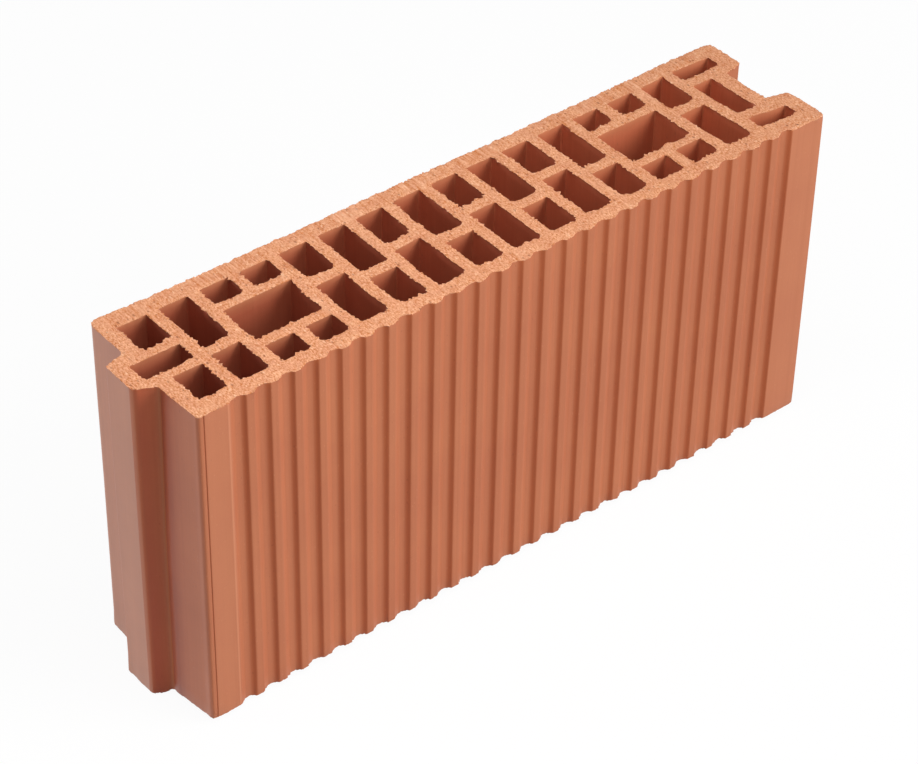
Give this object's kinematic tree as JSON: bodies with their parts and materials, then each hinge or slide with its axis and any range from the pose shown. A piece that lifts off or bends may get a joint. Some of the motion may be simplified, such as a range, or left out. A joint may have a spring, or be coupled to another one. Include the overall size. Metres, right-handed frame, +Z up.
{
  "type": "hollow clay brick",
  "caption": "Tall hollow clay brick for partition walls: ribbed long faces, upright through holes, hand-grip holes, a tongue on one end and a groove in the other.",
  "frame": {"origin": "middle of the overall length and thickness, on the lower bed face", "axes": "+X along the length towards the grooved end, +Y through the thickness towards the back face, +Z up along the holes"},
  "size_m": [0.513, 0.11, 0.244],
  "materials": {
    "fired_clay": "unglazed fired clay: smooth and finely streaked on the sides, rough and wire-cut on the bed faces"
  },
  "bodies": {
    "root": {"clay_brick": "fired_clay"}
  },
  "joints": []
}
